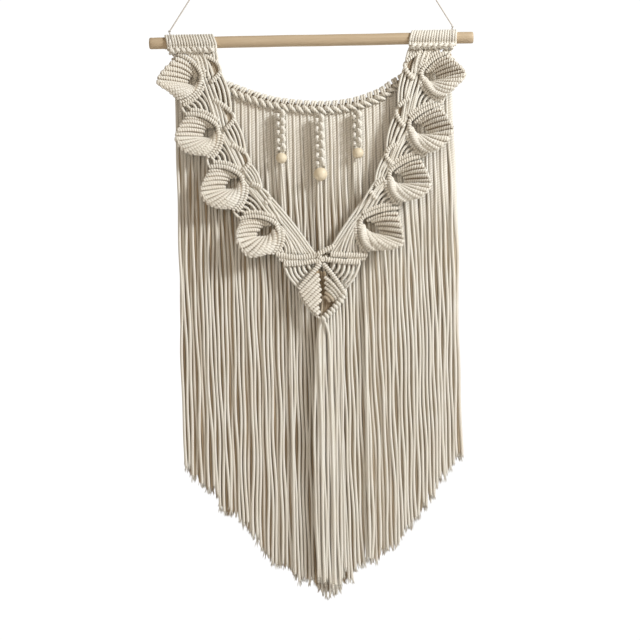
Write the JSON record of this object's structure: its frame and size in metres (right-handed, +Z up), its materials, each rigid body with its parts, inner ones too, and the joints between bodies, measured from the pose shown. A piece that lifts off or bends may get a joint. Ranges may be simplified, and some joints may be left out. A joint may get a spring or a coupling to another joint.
{
  "type": "macrame wall hanging on a wooden rod",
  "caption": "Macrame wall hanging on a wooden rod: knotted V of curled leaves with beads over a long fringe with a tassel, hung by a string.",
  "frame": {"origin": "the point on the wall midway between the top ends of the two string legs, level with them, 84 mm above the rod's axis", "axes": "+X along the rod to the viewer's right, +Y into the wall, so the front faces -Y, +Z up"},
  "size_m": [0.475, 0.0434, 0.9019],
  "materials": {
    "cotton": "matt undyed cotton cord",
    "rod_wood": "plain pale wood with an open grain",
    "bead_wood": "smooth satin pale wood",
    "string": "thin matt cotton string"
  },
  "bodies": {
    "root": {"rod": "rod_wood", "strap_left": "cotton", "strap_right": "cotton", "arm_left": "cotton", "arm_right": "cotton", "leaf_left_1": "cotton", "leaf_left_2": "cotton", "leaf_left_3": "cotton", "leaf_left_4": "cotton", "leaf_right_1": "cotton", "leaf_right_2": "cotton", "leaf_right_3": "cotton", "leaf_right_4": "cotton", "leaf_centre": "cotton", "junction": "cotton", "swag_braid": "cotton", "back_fringe": "cotton", "tassel": "cotton", "sinnet_left": "cotton", "sinnet_centre": "cotton", "sinnet_right": "cotton", "tail_left": "cotton", "tail_centre": "cotton", "tail_right": "cotton", "bead_left": "bead_wood", "bead_centre": "bead_wood", "bead_right": "bead_wood", "string_left": "string", "string_right": "string", "loop_left": "string", "loop_right": "string"}
  },
  "joints": []
}
